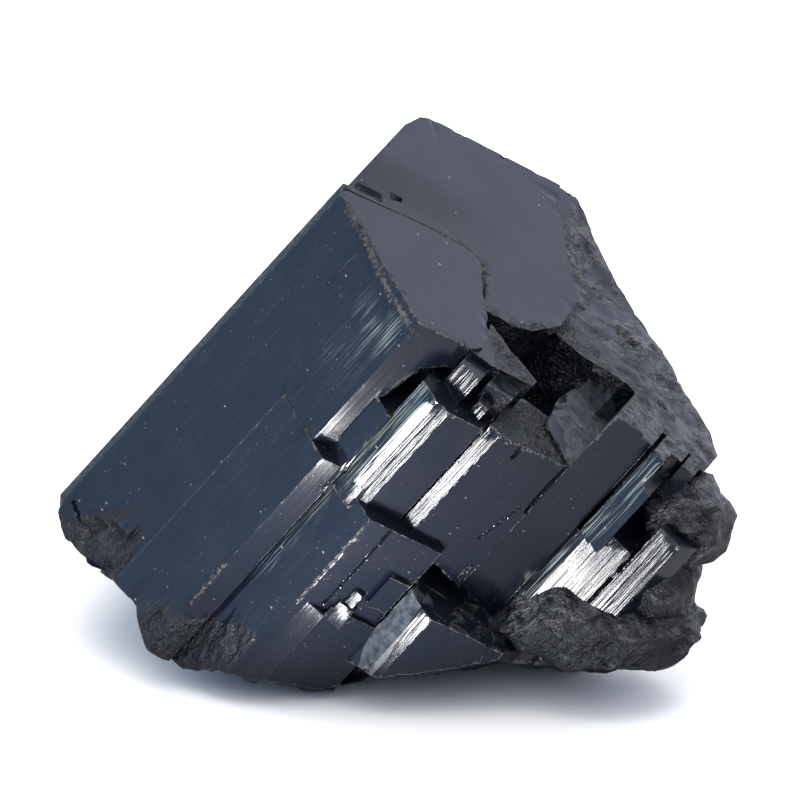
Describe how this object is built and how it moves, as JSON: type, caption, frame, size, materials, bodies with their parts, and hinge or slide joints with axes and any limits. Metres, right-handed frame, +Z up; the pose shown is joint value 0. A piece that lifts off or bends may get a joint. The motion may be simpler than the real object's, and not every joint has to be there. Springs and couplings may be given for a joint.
{
  "type": "tourmaline crystal",
  "caption": "Natural cluster of black tourmaline prisms grown together side by side, with smooth end faces, stepped blades and a broken underside that it rests on.",
  "frame": {"origin": "centre of the bounding box in plan, on the floor under the flat break", "axes": "+X to the viewer's right along the cluster's greatest length, +Y away from the viewer, +Z up from the floor"},
  "size_m": [0.08, 0.0597, 0.063],
  "materials": {
    "tourmaline": "opaque black stone with a glassy lustre, striated along the crystals and matt where broken"
  },
  "bodies": {
    "root": {"tourmaline_crystal": "tourmaline"}
  },
  "joints": []
}
